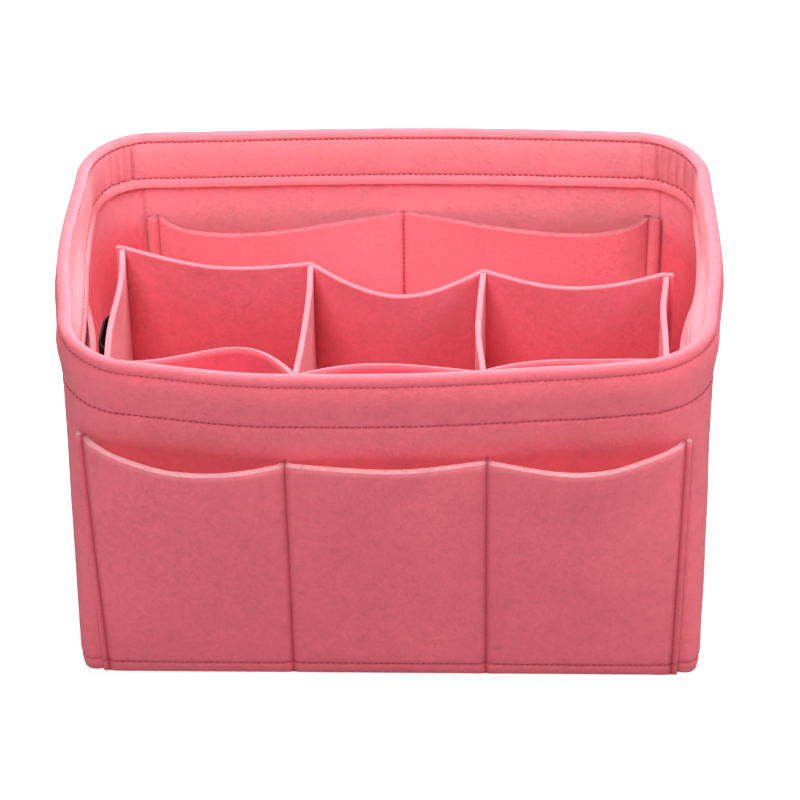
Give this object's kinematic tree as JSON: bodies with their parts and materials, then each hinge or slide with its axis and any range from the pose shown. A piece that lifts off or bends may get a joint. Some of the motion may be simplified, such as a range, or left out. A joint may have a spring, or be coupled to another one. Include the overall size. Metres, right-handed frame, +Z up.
{
  "type": "felt organizer bag",
  "caption": "Open-topped felt insert with rounded corners, a hemmed rim, pockets outside and inside, a bay tray, a rear compartment and an elastic pen loop.",
  "frame": {"origin": "middle of the base's underside, on the surface that the bag stands on", "axes": "+X along the bag to the right, +Y from the front (three outer pockets, pictured side) to the back, +Z up"},
  "size_m": [0.2726, 0.19, 0.162],
  "materials": {
    "felt": "matt pressed felt",
    "elastic": "woven elastic"
  },
  "bodies": {
    "root": {"base_panel": "felt", "wall_front": "felt", "wall_back": "felt", "outer_pocket_strip_front": "felt", "outer_pocket_strip_back": "felt", "inner_pocket_strip_front": "felt", "inner_pocket_strip_back": "felt", "side_pocket_left": "felt", "side_pocket_right": "felt", "tray_rear_divider": "felt", "tray_end_panel_left": "felt", "tray_cross_panel_left": "felt", "tray_cross_panel_right": "felt", "tray_end_panel_right": "felt", "elastic_pen_loop": "elastic"}
  },
  "joints": []
}
